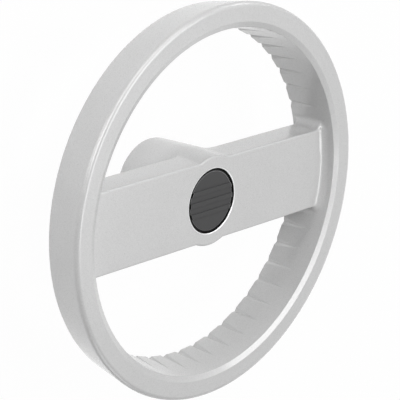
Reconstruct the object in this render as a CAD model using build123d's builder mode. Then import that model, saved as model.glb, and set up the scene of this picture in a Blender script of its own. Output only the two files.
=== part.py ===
from build123d import *
from math import asin, ceil, cos, degrees, hypot, radians, sin, tan
import os

os.makedirs("parts", exist_ok=True)

# A two-spoke machine handwheel: a die-cast aluminium wheel whose rim, crossbar and hub are one
# piece, and a plastic cap that closes the hub. All lengths are in millimetres and all angles in
# degrees. The shaft axis is Z, with the hub's rear face at Z = 0 and the rim's front face on top.
# The crossbar runs along X. Casting draft widens every wall towards the rear of the wheel.

# Overall size
wheel_diameter = 160.0
overall_length = 41.0

# Rim. Its width is measured at the front, as if its inner edge there had no bevel, and its depths
# down from the front face.
rim_width = 9.8
rim_outer_depth = 18.7
rim_inner_depth = 19.6
rim_outer_draft = 10.8
rim_inner_draft = 7.8
rim_front_outer_radius = 1.8
rim_front_bevel_width = 2.1
rim_front_bevel_depth = 0.9
rim_rear_chamfer = 1.2

# Finger-grip grooves in the rim's inner wall, V-shaped and deepest at the rear edge
groove_pitch = 7.5
groove_width = 3.4
groove_depth = 0.85
groove_start_depth = 6.5
groove_land = 1.5

# Crossbar. Its width and its recess are those of its front face, and its rear face lies in front
# of the rim's rear inner edge.
bar_width = 33.4
bar_recess = 5.5
bar_rear_recess = 3.1
bar_draft = 2.5
bar_edge_radius = 0.8
bar_corner_radius = 3.2
bar_rear_fillet = 2.5

# Hub. It bulges past both sides of the bar, and its diameter is taken at the bar's front face.
hub_diameter = 36.8
hub_side_blend = 5.0
hub_rear_draft = 3.0
hub_root_fillet = 2.0
hub_rear_edge_radius = 2.6

# Bore for the shaft, with a keyway, entered from the rear
bore_diameter = 14.0
bore_length = 22.5
bore_chamfer = 0.8
keyway_width = 5.0
keyway_depth = 2.3

# Chamber for the head of the shaft's screw, and the seat of the cap in front of it
chamber_diameter = 22.0
cap_seat_diameter = 26.2
cap_seat_depth = 3.0
cap_seat_chamfer = 0.3

# Cover cap: a ribbed disc with a slotted skirt that presses into the chamber
cap_side_clearance = 0.25
cap_recess = 0.5
cap_edge_chamfer = 0.35
cap_rib_count = 3
cap_rib_pitch = 4.5
cap_rib_width = 1.9
cap_rib_height = 0.45
cap_rib_margin = 0.7
skirt_clearance = 0.05
skirt_height = 5.0
skirt_wall = 1.5
skirt_slot_width = 3.0
skirt_slot_count = 4
skirt_chamfer = 0.5

# Largest share of a wall that the fillet at its end may take
fillet_share = 0.8

# Heights along Z
bar_front = overall_length - bar_recess
rim_rear_outer = overall_length - rim_outer_depth
rim_rear_inner = overall_length - rim_inner_depth
bar_rear = rim_rear_inner + bar_rear_recess
bar_thickness = bar_front - bar_rear
groove_top = overall_length - groove_start_depth
cap_seat = bar_front - cap_seat_depth
parting_height = bar_rear - hub_root_fillet

# Radii of the rim's walls. The fillet on the front outer edge peaks at the wheel's diameter, so
# the sharp corner under it lies a little further out.
mouth_radius = wheel_diameter / 2 - rim_width
outer_slope = tan(radians(rim_outer_draft))
fillet_reach = (1 + sin(radians(rim_outer_draft))) / cos(radians(rim_outer_draft)) - 1
front_corner_radius = wheel_diameter / 2 + rim_front_outer_radius * fillet_reach


def rim_inner(height):
    """Radius of the rim's inner wall at a height."""
    return mouth_radius - (overall_length - height) * tan(radians(rim_inner_draft))


def rim_outer(height):
    """Radius of the rim's outer wall at a height."""
    return front_corner_radius - (overall_length - height) * outer_slope


def rim_rear(radius):
    """Height of the rim's sloping rear face at a radius."""
    share = (radius - rim_inner(rim_rear_inner)) / (rim_outer(rim_rear_outer) - rim_inner(rim_rear_inner))
    return rim_rear_inner + share * (rim_rear_outer - rim_rear_inner)


def hub_front(height):
    """Radius of the hub's front cone, which forms the bulges beside the bar."""
    return hub_diameter / 2 + (bar_front - height) * tan(radians(bar_draft))


def hub_rear(height):
    """Radius of the hub's rear cone, which meets the front cone at the parting height."""
    return hub_front(parting_height) - (parting_height - height) * tan(radians(hub_rear_draft))


# Groove that the fingers grip, as a cutter that stands at angle 0 and runs out towards the front.
# Its root is a straight line from the rear edge of the rim to where it meets the inner wall.
root_radius_rear = rim_inner(rim_rear_inner) + groove_depth
root_run = groove_top - rim_rear_inner
root_rise = rim_inner(groove_top) - root_radius_rear
root_plane = Plane(
    origin=(root_radius_rear - root_rise, 0, rim_rear_inner - root_run),
    x_dir=(0, 1, 0),
    z_dir=(root_rise, 0, root_run),
)
with BuildPart() as groove:
    with BuildSketch(root_plane):
        with BuildLine():
            Polyline(
                (0, 0), (groove_width, 2 * groove_depth), (-groove_width, 2 * groove_depth), close=True
            )
        make_face()
    extrude(amount=2 * hypot(root_run, root_rise))

# The corner fillet reaches this far round the rim's inner wall. The first groove is the first one
# of the pitch that leaves a land beside it, and the last one mirrors it.
corner_half_width = bar_width / 2 + bar_thickness * tan(radians(bar_draft)) + bar_corner_radius
corner_angle = degrees(asin(corner_half_width / (rim_inner(bar_rear) - bar_corner_radius)))
land_angle = degrees((groove_width / 2 + groove_land) / rim_inner(bar_rear))
first_groove = ceil((corner_angle + land_angle) / groove_pitch) * groove_pitch
groove_count = round((180 - 2 * first_groove) / groove_pitch) + 1

# Casting. Bar, hub and rim all start at Z = 0, and their rear is cut away to its true form later.
apron_radius = rim_inner(rim_rear_inner) + rim_width / 2
chamfer_radius = rim_outer(rim_rear_outer) - rim_rear_chamfer
chamfer_top = rim_rear_outer + rim_rear_chamfer
bevel_bottom = overall_length - rim_front_bevel_depth
with BuildPart() as wheel_casting:
    # Hub and bar as one disc that ends inside the rim, trimmed to the bar's two drafted sides
    with BuildSketch(Plane.XZ):
        with BuildLine():
            Polyline(
                (0, 0),
                (rim_inner(0) + rim_width / 4, 0),
                (rim_inner(bar_front) + rim_width / 4, bar_front),
                (0, bar_front),
                close=True,
            )
        make_face()
    revolve(axis=Axis.Z)
    for side in (1, -1):
        bar_side = Plane(
            origin=(0, side * bar_width / 2, bar_front),
            x_dir=(1, 0, 0),
            z_dir=(0, side * cos(radians(bar_draft)), sin(radians(bar_draft))),
        )
        split(bisect_by=bar_side, keep=Keep.BOTTOM)

    # Hub bulges, blended into the bar's sides
    with BuildSketch(Plane.XZ):
        with BuildLine():
            Polyline((0, 0), (hub_front(0), 0), (hub_front(bar_front), bar_front), (0, bar_front), close=True)
        make_face()
    revolve(axis=Axis.Z)
    hub_corners = wheel_casting.edges(Select.NEW).filter_by(lambda edge: (edge @ 0).Z != (edge @ 1).Z)
    fillet(hub_corners, hub_side_blend)

    # Rounded front edges along the bar and round the bulges
    front_face = wheel_casting.faces().sort_by(Axis.Z)[-1]
    long_edges = front_face.edges().filter_by(lambda edge: abs(edge.center().Y) > bar_width / 4)
    fillet(long_edges, bar_edge_radius)

    # Rim, with an apron under its inner wall down to Z = 0, so that the fillet round each end of the
    # bar runs straight down the whole corner
    with BuildSketch(Plane.XZ):
        with BuildLine():
            FilletPolyline(
                (rim_inner(0), 0),
                (apron_radius, 0),
                (apron_radius, rim_rear(apron_radius)),
                (chamfer_radius, rim_rear(chamfer_radius)),
                (rim_outer(chamfer_top), chamfer_top),
                (rim_outer(overall_length), overall_length),
                (mouth_radius + rim_front_bevel_width, overall_length),
                (rim_inner(bevel_bottom), bevel_bottom),
                radius=[0, 0, 0, 0, 0, rim_front_outer_radius, 0, 0],
                close=True,
            )
        make_face()
    revolve(axis=Axis.Z)
    bar_ends = wheel_casting.edges(Select.NEW)
    fillet(bar_ends, bar_corner_radius)

    # Rear form: everything behind the hub's rear cone, the bar and the rim is cut away
    rear_corner_radius = min(bar_rear_fillet, fillet_share * bar_rear_recess)
    with BuildSketch(Plane.XZ):
        with BuildLine():
            FilletPolyline(
                (hub_rear(0), 0),
                (hub_rear(bar_rear), bar_rear),
                (rim_inner(bar_rear), bar_rear),
                (rim_inner(rim_rear_inner), rim_rear_inner),
                (apron_radius, rim_rear(apron_radius)),
                (apron_radius, 0),
                radius=[0, hub_root_fillet, rear_corner_radius, 0, 0, 0],
                close=True,
            )
        make_face()
    revolve(axis=Axis.Z, mode=Mode.SUBTRACT)
    fillet(wheel_casting.edges().group_by(Axis.Z)[0], hub_rear_edge_radius)

    # Finger-grip grooves round both windows
    for window_start in (first_groove, 180 + first_groove):
        with PolarLocations(0, groove_count, window_start, 180 - 2 * first_groove, endpoint=True):
            add(groove.part, mode=Mode.SUBTRACT)

    # Seat of the cap and the screw's chamber from the front, and the bore from the rear. The keyway
    # is broached after the mouth of the bore has its chamfer.
    with Locations((0, 0, bar_front)):
        CounterBoreHole(
            radius=chamber_diameter / 2,
            counter_bore_radius=cap_seat_diameter / 2,
            counter_bore_depth=cap_seat_depth,
            depth=bar_front - bore_length,
        )
    chamfer(wheel_casting.edges(Select.NEW).group_by(Axis.Z)[-1], cap_seat_chamfer)
    Hole(bore_diameter / 2)
    chamfer(wheel_casting.edges(Select.NEW).group_by(Axis.Z)[0], bore_chamfer)
    with BuildSketch():
        Rectangle(bore_diameter / 2 + keyway_depth, keyway_width, align=(Align.MIN, Align.CENTER))
    extrude(amount=bore_length, mode=Mode.SUBTRACT)
wheel_casting.part.label = "wheel_casting"
export_step(wheel_casting.part, "parts/wheel_casting.step")

# Cover cap. Its disc lies on the seat, and its skirt grips the wall of the chamber.
cap_radius = cap_seat_diameter / 2 - cap_side_clearance
cap_face = bar_front - cap_recess
skirt_radius = chamber_diameter / 2 - skirt_clearance
with BuildPart() as cover_cap:
    with BuildSketch(Plane.XY.offset(cap_seat)):
        Circle(cap_radius)
    extrude(amount=cap_face - cap_seat)
    chamfer(cover_cap.edges().group_by(Axis.Z)[-1], cap_edge_chamfer)

    # Raised ribs along the bar, ending short of the cap's edge
    with BuildSketch(Plane.XY.offset(cap_face)):
        with GridLocations(0, cap_rib_pitch, 1, cap_rib_count):
            Rectangle(2 * cap_radius, cap_rib_width)
        Circle(cap_radius - cap_rib_margin, mode=Mode.INTERSECT)
    extrude(amount=cap_rib_height)

    # Skirt, slotted so that it springs, with a chamfer to lead it in
    with BuildSketch(Plane.XY.offset(cap_seat)):
        Circle(skirt_radius)
        Circle(skirt_radius - skirt_wall, mode=Mode.SUBTRACT)
    extrude(amount=-skirt_height)
    chamfer(cover_cap.edges().group_by(Axis.Z)[0].sort_by(SortBy.LENGTH)[-1], skirt_chamfer)
    with BuildSketch(Plane.XY.offset(cap_seat)):
        with PolarLocations(skirt_radius - skirt_wall / 2, skirt_slot_count, 180 / skirt_slot_count):
            Rectangle(2 * skirt_wall, skirt_slot_width)
    extrude(amount=-skirt_height, mode=Mode.SUBTRACT)
cover_cap.part.label = "cover_cap"
export_step(cover_cap.part, "parts/cover_cap.step")
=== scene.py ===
import math

import bpy
import numpy as np
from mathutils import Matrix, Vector


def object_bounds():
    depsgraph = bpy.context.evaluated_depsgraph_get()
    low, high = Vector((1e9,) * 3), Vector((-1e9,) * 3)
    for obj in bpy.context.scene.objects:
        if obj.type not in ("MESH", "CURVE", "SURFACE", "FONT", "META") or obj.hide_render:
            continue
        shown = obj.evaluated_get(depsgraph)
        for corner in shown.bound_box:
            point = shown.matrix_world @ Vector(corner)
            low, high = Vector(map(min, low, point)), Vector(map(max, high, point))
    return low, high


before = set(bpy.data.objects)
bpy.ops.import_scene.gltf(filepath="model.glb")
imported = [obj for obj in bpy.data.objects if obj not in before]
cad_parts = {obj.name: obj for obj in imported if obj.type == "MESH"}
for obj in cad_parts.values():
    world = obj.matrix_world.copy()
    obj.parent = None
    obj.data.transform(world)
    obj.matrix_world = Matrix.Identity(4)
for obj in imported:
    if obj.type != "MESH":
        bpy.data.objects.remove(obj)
cad_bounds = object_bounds()

bl_info = {
    "name": "Machine handwheel",
    "version": (1, 0, 0),
    "blender": (4, 5, 0),
    "location": "View3D > Sidebar > Handwheel",
    "description": "Finishes a die-cast handwheel and its cover cap, and sets them in a plain studio",
    "category": "Object",
}

MM = 0.001
CASTING = "wheel_casting"
CAP = "cover_cap"
LAMP_DISTANCE = 1.2

# Radii and heights of the hub's turned faces and of the cap, in metres. The margin keeps a mask's
# edge clear of the faces that it sorts.
MARGIN = 0.02 * MM
SEAT_RADIUS = 13.1 * MM
SEAT_CHAMFER = 0.3 * MM
SEAT_LAND = 0.32 * MM
SEAT_FLOOR = 32.5 * MM
BAR_FRONT = 35.5 * MM
CHAMBER_RADIUS = 11.0 * MM
CAP_FACE_RADIUS = 12.5 * MM

# Darkest and lightest share of a material's mean colour
COAT_SHADES = (0.82, 1.18)
BARE_SHADES = (0.88, 1.10)
CAP_SHADES = (0.85, 1.15)
# Painted shade: the border round the cap's face is darkened to this share of the cap's colour, for the
# shade in the gap round the cap
BORDER_PAINTED_SHADE = 0.08
# Painted highlight: the slope inside the cap's border is lightened by this factor, for the light caught
# along the face's edge
SLOPE_PAINTED_HIGHLIGHT = 4.5
FLOOR_GREYS = (0.86, 0.90)

# Sizes of the broad unevenness in each material, in metres
COAT_CLOUD = 22 * MM
CAP_CLOUD = 6 * MM
WAVER_SIZE = 6 * MM
WAVER_HEIGHT = 0.04 * MM
STREAK_SIZE = 0.5 * MM
PAPER_SIZE = 30 * MM

# A flake with a number over this one lies flat and shines
BRIGHT_FLAKE = 0.93
BEVEL_SAMPLES = 6

# Softboxes: name, setting of the power, angle round the shaft axis and angle above the plane of the
# rim in degrees, width and height in metres
SOFTBOXES = (
    ("key_softbox", "key_light", 95, 40, 1.1, 0.45),
    ("left_softbox", "left_light", 145, 45, 0.5, 0.5),
    ("front_softbox", "front_light", 0, 64, 0.9, 0.6),
    ("glint_softbox", "glint_light", 34, 67, 0.35, 0.35),
    ("edge_softbox", "edge_light", 42, 20, 0.3, 0.3),
    ("right_softbox", "right_light", 335, 12, 0.6, 0.35),
    ("low_strip", "low_light", 150, 3.5, 0.6, 0.12),
    ("fill_softbox", "fill_light", 268, 20, 0.6, 0.6),
)


class Value:
    """An output of a shader tree. Arithmetic on it adds Math nodes to the tree."""

    def __init__(self, finish, output):
        self.finish = finish
        self.output = output

    def math(self, operation, first, second):
        return self.finish.node("ShaderNodeMath", {"operation": operation}, {0: first, 1: second})

    def __add__(self, other):
        return self.math("ADD", self, other)

    def __radd__(self, other):
        return self.math("ADD", other, self)

    def __sub__(self, other):
        return self.math("SUBTRACT", self, other)

    def __rsub__(self, other):
        return self.math("SUBTRACT", other, self)

    def __mul__(self, other):
        return self.math("MULTIPLY", self, other)

    def __rmul__(self, other):
        return self.math("MULTIPLY", other, self)

    def __lt__(self, other):
        return self.math("LESS_THAN", self, other)

    def __gt__(self, other):
        return self.math("GREATER_THAN", self, other)


class Finish:
    """The nodes of a new material or world, which node() adds one by one."""

    def __init__(self, owner):
        owner.use_nodes = True
        self.owner = owner
        self.tree = owner.node_tree
        self.tree.nodes.clear()

    def node(self, kind, settings=None, sockets=None, output=0):
        """Adds a node, makes its settings first, feeds its sockets with numbers, colours or
        Values, and returns one of its outputs as a Value."""
        made = self.tree.nodes.new(kind)
        for name, setting in (settings or {}).items():
            setattr(made, name, setting)
        for key, value in (sockets or {}).items():
            if isinstance(value, Value):
                self.tree.links.new(value.output, made.inputs[key])
            else:
                made.inputs[key].default_value = value
        return Value(self, made.outputs[output]) if made.outputs else None

    def point(self):
        """The place on the object, in metres."""
        return self.node("ShaderNodeTexCoord", output="Object")

    def radius(self, point):
        """Distance from the shaft axis, which is the length of the point laid flat."""
        flat = self.node("ShaderNodeVectorMath", {"operation": "MULTIPLY"}, {0: point, 1: (1, 1, 0)})
        return self.node("ShaderNodeVectorMath", {"operation": "LENGTH"}, {0: flat}, "Value")

    def noise(self, point, size, detail=2.0, roughness=0.5):
        """Noise from 0 to 1 with features of about the given size in metres."""
        sockets = {"Vector": point, "Scale": 1 / size, "Detail": detail, "Roughness": roughness}
        return self.node("ShaderNodeTexNoise", sockets=sockets)

    def cells(self, point, size):
        """A random number from 0 to 1 for each cell of about the given size in metres."""
        sockets = {"Vector": point, "Scale": 1 / size}
        colour = self.node("ShaderNodeTexVoronoi", sockets=sockets, output="Color")
        return self.node("ShaderNodeSeparateColor", sockets={"Color": colour})

    def mix(self, factor, first, second):
        """A colour between two colours."""
        settings = {"data_type": "RGBA", "clamp_factor": True}
        return self.node("ShaderNodeMix", settings, {0: factor, 6: first, 7: second}, output=2)

    def ease(self, value, low, high):
        """0 below low, 1 above high, and a smooth step between them."""
        settings = {"interpolation_type": "SMOOTHSTEP"}
        sockets = {"Value": value, "From Min": low, "From Max": high}
        return self.node("ShaderNodeMapRange", settings, sockets)

    def larger(self, first, second):
        return self.node("ShaderNodeMath", {"operation": "MAXIMUM"}, {0: first, 1: second})

    def sine(self, angle):
        return self.node("ShaderNodeMath", {"operation": "SINE"}, {0: angle})

    def relief(self, height, edge_radius):
        """A normal with its edges softened to a radius, and raised by a height in metres."""
        settings = {"samples": BEVEL_SAMPLES}
        soft = self.node("ShaderNodeBevel", settings, {"Radius": edge_radius}, "Normal")
        sockets = {"Strength": 1.0, "Distance": 1.0, "Height": height, "Normal": soft}
        return self.node("ShaderNodeBump", sockets=sockets, output="Normal")

    def surface(self, shader):
        """Ends the nodes with a shader, and returns the material."""
        self.node("ShaderNodeOutputMaterial", sockets={"Surface": shader})
        return self.owner


def grey(level):
    """An opaque grey of one linear level."""
    return (level, level, level, 1.0)


def shaded(colour, factor):
    """A colour made lighter or darker by a factor, with its alpha kept."""
    return (*(channel * factor for channel in colour[:3]), colour[3])


def shades(colour, factors):
    """The darkest and the lightest shade of a colour."""
    return (shaded(colour, factor) for factor in factors)


class CoatSettings(bpy.types.PropertyGroup):
    """Silver-grey powder coat of the casting"""

    colour: bpy.props.FloatVectorProperty(
        name="Colour", description="Mean colour of the coat", subtype="COLOR", size=4, min=0, max=1,
        default=(0.60, 0.60, 0.60, 1.0),
    )
    metal: bpy.props.FloatProperty(
        name="Metal", description="How metallic the silver pigment makes the coat", subtype="FACTOR",
        min=0, max=1, default=0.12,
    )
    roughness: bpy.props.FloatProperty(
        name="Roughness", description="Mean roughness of the coat", subtype="FACTOR", min=0, max=1,
        default=0.36,
    )
    resin: bpy.props.FloatProperty(
        name="Resin", description="Share of clear resin over the silver pigment", subtype="FACTOR",
        min=0, max=1, default=0.85,
    )
    resin_roughness: bpy.props.FloatProperty(
        name="Resin Roughness", description="Roughness of the clear resin", subtype="FACTOR",
        min=0, max=1, default=0.13,
    )
    grain_size: bpy.props.FloatProperty(
        name="Grain Size", description="Width of the coat's fine grain", unit="LENGTH",
        default=0.55 * MM,
    )
    grain_depth: bpy.props.FloatProperty(
        name="Grain Depth", description="Height of the coat's fine grain", unit="LENGTH",
        default=0.012 * MM,
    )
    flow_size: bpy.props.FloatProperty(
        name="Flow Size", description="Width of the soft waves left where the powder flowed out",
        unit="LENGTH", default=2.4 * MM,
    )
    flow_depth: bpy.props.FloatProperty(
        name="Flow Depth", description="Height of the soft waves", unit="LENGTH",
        default=0.012 * MM,
    )
    flake_size: bpy.props.FloatProperty(
        name="Flake Size", description="Width of the silver flakes", unit="LENGTH",
        default=0.16 * MM,
    )
    edge_radius: bpy.props.FloatProperty(
        name="Edge Radius", description="How far the coat softens the casting's crisp edges",
        unit="LENGTH", default=0.35 * MM,
    )


class BareMetalSettings(bpy.types.PropertyGroup):
    """Turned aluminium of the hub's rear face, bore and cap seat"""

    colour: bpy.props.FloatVectorProperty(
        name="Colour", description="Colour of the bare aluminium", subtype="COLOR", size=4, min=0,
        max=1, default=(0.86, 0.865, 0.87, 1.0),
    )
    # Painted shade: a near-black colour laid on the gap round the cap, for the shade down in that gap
    gap_shade: bpy.props.FloatVectorProperty(
        name="Gap Shade", description="Colour of the painted shade in the gap round the cap",
        subtype="COLOR", size=4, min=0, max=1, default=(0.012, 0.012, 0.012, 1.0),
    )
    roughness: bpy.props.FloatProperty(
        name="Roughness", description="Mean roughness of the turned face", subtype="FACTOR", min=0,
        max=1, default=0.30,
    )
    feed: bpy.props.FloatProperty(
        name="Feed", description="Distance from one turning mark to the next", unit="LENGTH",
        default=0.22 * MM,
    )
    mark_depth: bpy.props.FloatProperty(
        name="Mark Depth", description="Depth of the turning marks", unit="LENGTH",
        default=0.006 * MM,
    )


class CapSettings(bpy.types.PropertyGroup):
    """Moulded plastic of the cover cap"""

    colour: bpy.props.FloatVectorProperty(
        name="Colour", description="Mean colour of the plastic", subtype="COLOR", size=4, min=0,
        max=1, default=(0.070, 0.070, 0.071, 1.0),
    )
    roughness: bpy.props.FloatProperty(
        name="Roughness", description="Mean roughness of the plastic", subtype="FACTOR", min=0,
        max=1, default=0.55,
    )
    texture_size: bpy.props.FloatProperty(
        name="Texture Size", description="Width of the mould's spark-eroded texture", unit="LENGTH",
        default=0.30 * MM,
    )
    texture_depth: bpy.props.FloatProperty(
        name="Texture Depth", description="Height of the mould's texture", unit="LENGTH",
        default=0.008 * MM,
    )
    edge_radius: bpy.props.FloatProperty(
        name="Edge Radius", description="Softening of the moulding's edges", unit="LENGTH",
        default=0.15 * MM,
    )
    shine: bpy.props.FloatProperty(
        name="Shine", description="Strength of the plastic's reflection", subtype="FACTOR", min=0,
        max=1, default=0.15,
    )
    border_width: bpy.props.FloatProperty(
        name="Border Width", description="Width of the dark, smooth border round the face",
        unit="LENGTH", default=0.42 * MM,
    )
    border_depth: bpy.props.FloatProperty(
        name="Border Depth", description="How far the border lies below the face", unit="LENGTH",
        default=0.18 * MM,
    )
    border_slope: bpy.props.FloatProperty(
        name="Border Slope", description="Width of the slope from the face down to the border",
        unit="LENGTH", default=0.25 * MM,
    )


class StudioSettings(bpy.types.PropertyGroup):
    """Floor, light and camera"""

    floor_size: bpy.props.FloatProperty(
        name="Floor Size", description="Side of the square floor", unit="LENGTH", default=12.0,
    )
    floor_white: bpy.props.FloatProperty(
        name="Floor White", description="Share of plain white that the camera sees on the floor",
        subtype="FACTOR", min=0, max=1, default=0.975,
    )
    room_light: bpy.props.FloatProperty(
        name="Room Light", description="Strength of the even light from all sides", min=0,
        default=0.03,
    )
    key_light: bpy.props.FloatProperty(
        name="Key Light", description="Power of the wide softbox over the wheel's upper edge",
        unit="POWER", default=5.1,
    )
    left_light: bpy.props.FloatProperty(
        name="Left Light", description="Power of the softbox at the upper left", unit="POWER",
        default=4.2,
    )
    front_light: bpy.props.FloatProperty(
        name="Front Light", description="Power of the softbox in front of the wheel", unit="POWER",
        default=5.9,
    )
    glint_light: bpy.props.FloatProperty(
        name="Glint Light", description="Power of the small softbox that brightens the bevel",
        unit="POWER", default=0.2,
    )
    edge_light: bpy.props.FloatProperty(
        name="Edge Light", description="Power of the small softbox that draws the bar's upper edge",
        unit="POWER", default=0.9,
    )
    right_light: bpy.props.FloatProperty(
        name="Right Light", description="Power of the softbox low on the right", unit="POWER",
        default=0.4,
    )
    low_light: bpy.props.FloatProperty(
        name="Low Light", description="Power of the strip just over the floor", unit="POWER",
        default=2.4,
    )
    fill_light: bpy.props.FloatProperty(
        name="Fill Light", description="Power of the softbox below the bar", unit="POWER",
        default=1.35,
    )
    camera_place: bpy.props.FloatVectorProperty(
        name="Camera Place", description="Where the camera stands", subtype="TRANSLATION",
        unit="LENGTH", default=(-0.6070, 0.2653, 0.5590),
    )
    camera_turn: bpy.props.FloatVectorProperty(
        name="Camera Turn", description="How the camera is turned", subtype="EULER",
        default=tuple(math.radians(angle) for angle in (-21.244, -47.950, 3.931)),
    )
    camera_lens: bpy.props.FloatProperty(
        name="Camera Lens", description="Focal length", unit="CAMERA", default=194.4,
    )


class HANDWHEEL_OT_finish_casting(bpy.types.Operator):
    """Gives the casting its powder coat, and bare metal where it is turned"""

    bl_idname = "handwheel.finish_casting"
    bl_label = "Finish Casting"

    def execute(self, context):
        coat = context.scene.handwheel_coat
        bare = context.scene.handwheel_bare_metal
        finish = Finish(bpy.data.materials.new("silver_powder_coat"))
        point = finish.point()
        z = finish.node("ShaderNodeSeparateXYZ", sockets={0: point}, output="Z")
        radius = finish.radius(point)

        # Everything inside the cap seat, with its chamfer and a narrow land round it, and the whole of
        # the rear face is turned. The gap round the cap is painted near-black and made not metallic, a
        # painted shade for the shade down in that gap, and on the land the cut edge of the coat shows
        # pale.
        turned = finish.larger(radius < SEAT_RADIUS + SEAT_CHAMFER + SEAT_LAND, z < MARGIN)
        gap = (radius > CHAMBER_RADIUS + MARGIN) * (radius < SEAT_RADIUS + 0.5 * SEAT_CHAMFER)
        gap = gap * (z > SEAT_FLOOR - MARGIN) * (z < BAR_FRONT - 0.5 * SEAT_CHAMFER)
        lip = turned * (radius > SEAT_RADIUS + SEAT_CHAMFER) * (z > BAR_FRONT - MARGIN)

        # Coat: fine grain on soft waves, and silver flakes that catch the light one by one
        grain = finish.noise(point, coat.grain_size, detail=3.0, roughness=0.6)
        flow = finish.noise(point, coat.flow_size, detail=1.0)
        flakes = finish.cells(point, coat.flake_size)
        cloud = finish.noise(point, COAT_CLOUD)
        level = 0.3 * flakes + 0.5 * grain + 0.2 * cloud
        coat_colour = finish.mix(level, *shades(coat.colour, COAT_SHADES))
        coat_roughness = coat.roughness + 0.10 * (grain - 0.5) - 0.16 * (flakes > BRIGHT_FLAKE)
        coat_height = coat.grain_depth * grain + coat.flow_depth * flow

        # Turned metal: rings across the faces and along the bores, as the tool's feed leaves them
        waver = finish.noise(point, WAVER_SIZE, detail=1.0)
        ring = finish.sine((radius + z + WAVER_HEIGHT * waver) * (2 * math.pi / bare.feed))
        profile = finish.node("ShaderNodeCombineXYZ", sockets={0: radius + z})
        streak = finish.noise(profile, STREAK_SIZE, detail=4.0, roughness=0.7)
        bare_colour = finish.mix(streak, *shades(bare.colour, BARE_SHADES))
        # Painted shade: the gap round the cap takes the near-black gap colour, for the shade down in the
        # gap
        bare_colour = finish.mix(gap, bare_colour, tuple(bare.gap_shade))
        bare_roughness = bare.roughness + 0.12 * (streak - 0.5)
        bare_height = bare.mark_depth * (0.35 * ring + streak)

        height = coat_height + turned * (bare_height - coat_height)
        sockets = {
            "Base Color": finish.mix(turned, coat_colour, bare_colour),
            "Metallic": coat.metal + turned * (1.0 - coat.metal) - gap - lip,
            "Roughness": coat_roughness + turned * (bare_roughness - coat_roughness),
            "Coat Weight": coat.resin * (1.0 - turned),
            "Coat Roughness": coat.resin_roughness,
            "Normal": finish.relief(height, coat.edge_radius),
        }
        shader = finish.node("ShaderNodeBsdfPrincipled", sockets=sockets)
        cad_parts[CASTING].data.materials[0] = finish.surface(shader)
        return {"FINISHED"}


class HANDWHEEL_OT_finish_cap(bpy.types.Operator):
    """Gives the cover cap its moulded plastic"""

    bl_idname = "handwheel.finish_cap"
    bl_label = "Finish Cap"

    def execute(self, context):
        cap = context.scene.handwheel_cap
        finish = Finish(bpy.data.materials.new("moulded_plastic"))
        point = finish.point()
        texture = finish.noise(point, cap.texture_size, roughness=0.6)
        cloud = finish.noise(point, CAP_CLOUD)
        level = 0.6 * texture + 0.4 * cloud
        radius = finish.radius(point)
        face_radius = CAP_FACE_RADIUS - cap.border_width
        slope = finish.ease(radius, face_radius - cap.border_slope, face_radius)
        border = radius > face_radius
        height = cap.texture_depth * texture - cap.border_depth * slope
        face_colour = finish.mix(level, *shades(cap.colour, CAP_SHADES))
        # Painted highlight: the slope down to the border is made lighter, standing in for the light
        # caught along the face's edge
        face_colour = finish.mix(slope - border, face_colour, shaded(cap.colour, SLOPE_PAINTED_HIGHLIGHT))
        sockets = {
            # Painted shade: the border round the face is made near-black, standing in for the shade in
            # the gap round the cap
            "Base Color": finish.mix(border, face_colour, shaded(cap.colour, BORDER_PAINTED_SHADE)),
            "Specular IOR Level": cap.shine,
            "Roughness": cap.roughness + 0.10 * (level - 0.5) - 0.40 * (slope - border),
            "Normal": finish.relief(height, cap.edge_radius),
        }
        shader = finish.node("ShaderNodeBsdfPrincipled", sockets=sockets)
        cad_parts[CAP].data.materials[0] = finish.surface(shader)
        return {"FINISHED"}


def softbox(name, round_axis, above_rim, width, height, power):
    """An area lamp that faces the wheel's middle. It stands at an angle round the shaft axis and an
    angle above the plane of the rim, both in degrees."""
    lamp = bpy.data.lights.new(name, "AREA")
    lamp.shape = "RECTANGLE"
    lamp.size = width
    lamp.size_y = height
    lamp.energy = power
    stand = bpy.data.objects.new(name, lamp)
    turn, rise = math.radians(round_axis), math.radians(above_rim)
    direction = Vector((math.cos(rise) * math.cos(turn), math.cos(rise) * math.sin(turn), math.sin(rise)))
    middle = Vector(cad_bounds[0]).lerp(Vector(cad_bounds[1]), 0.5)
    stand.location = middle + direction * LAMP_DISTANCE
    stand.rotation_euler = direction.to_track_quat("Z", "Y").to_euler()
    stand.visible_camera = False
    bpy.context.scene.collection.objects.link(stand)


def seen_directly(finish):
    """1 for what the camera, a reflection or a see-through part shows, and 0 for what lights."""
    camera, glossy, through = (
        finish.node("ShaderNodeLightPath", output=name)
        for name in ("Is Camera Ray", "Is Glossy Ray", "Is Transmission Ray")
    )
    return finish.larger(camera, finish.larger(glossy, through))


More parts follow.
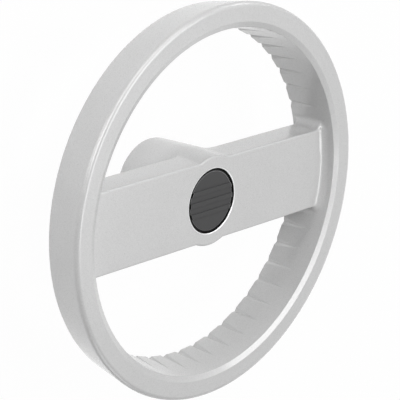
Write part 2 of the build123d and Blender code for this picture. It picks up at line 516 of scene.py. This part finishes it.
class HANDWHEEL_OT_stage(bpy.types.Operator):
    """Sets the floor, the light and the camera"""

    bl_idname = "handwheel.stage"
    bl_label = "Stage"

    def execute(self, context):
        studio = context.scene.handwheel_studio
        scene = context.scene
        scene.view_settings.view_transform = "Standard"

        # Floor: a grid of two by two points, a hair below the hub's rear face, so that the two don't
        # coincide
        side = np.array([-0.5, 0.5]) * studio.floor_size
        across, along = np.meshgrid(side, side)
        points = np.stack([across.ravel(), along.ravel(), np.full(4, -MARGIN)], axis=1)
        mesh = bpy.data.meshes.new("floor")
        mesh.from_pydata(points.tolist(), [], [(0, 1, 3, 2)])
        floor = bpy.data.objects.new("floor", mesh)
        scene.collection.objects.link(floor)

        finish = Finish(bpy.data.materials.new("pale_floor"))
        paper = finish.noise(finish.point(), PAPER_SIZE, detail=3.0)
        paper_colour = finish.mix(paper, *(grey(level) for level in FLOOR_GREYS))
        matt = finish.node("ShaderNodeBsdfDiffuse", sockets={"Color": paper_colour})
        white = finish.node("ShaderNodeEmission", sockets={"Color": grey(1.0), "Strength": 1.0})
        share = studio.floor_white * seen_directly(finish)
        mesh.materials.append(
            finish.surface(finish.node("ShaderNodeMixShader", sockets={0: share, 1: matt, 2: white}))
        )

        # Room: even light for the object, and plain white behind it
        scene.world = bpy.data.worlds.new("room")
        room = Finish(scene.world)
        level = studio.room_light + (1.0 - studio.room_light) * seen_directly(room)
        back = room.node("ShaderNodeBackground", sockets={"Strength": level})
        room.node("ShaderNodeOutputWorld", sockets={"Surface": back})

        for name, setting, *place in SOFTBOXES:
            softbox(name, *place, getattr(studio, setting))

        lens = bpy.data.cameras.new("camera")
        lens.lens = studio.camera_lens
        camera = bpy.data.objects.new("camera", lens)
        camera.location = studio.camera_place
        camera.rotation_euler = studio.camera_turn
        scene.collection.objects.link(camera)
        scene.camera = camera
        return {"FINISHED"}


class HANDWHEEL_PT_panel(bpy.types.Panel):
    """Lists the settings and the steps that use them"""

    bl_idname = "HANDWHEEL_PT_panel"
    bl_label = "Handwheel"
    bl_space_type = "VIEW_3D"
    bl_region_type = "UI"
    bl_category = "Handwheel"

    def draw(self, context):
        for group in SETTINGS:
            settings = getattr(context.scene, group)
            box = self.layout.box()
            box.label(text=settings.__doc__)
            for name in settings.__annotations__:
                box.prop(settings, name)
        for step in STEPS:
            self.layout.operator(step.bl_idname)


SETTINGS = {
    "handwheel_coat": CoatSettings,
    "handwheel_bare_metal": BareMetalSettings,
    "handwheel_cap": CapSettings,
    "handwheel_studio": StudioSettings,
}
STEPS = (HANDWHEEL_OT_finish_casting, HANDWHEEL_OT_finish_cap, HANDWHEEL_OT_stage)
CLASSES = (*SETTINGS.values(), *STEPS, HANDWHEEL_PT_panel)


def register():
    for cls in CLASSES:
        bpy.utils.register_class(cls)
    for name, group in SETTINGS.items():
        setattr(bpy.types.Scene, name, bpy.props.PointerProperty(type=group))


def unregister():
    for name in SETTINGS:
        delattr(bpy.types.Scene, name)
    for cls in reversed(CLASSES):
        bpy.utils.unregister_class(cls)


def main():
    register()
    bpy.ops.handwheel.finish_casting()
    bpy.ops.handwheel.finish_cap()
    bpy.ops.handwheel.stage()


if __name__ == "__main__":
    main()
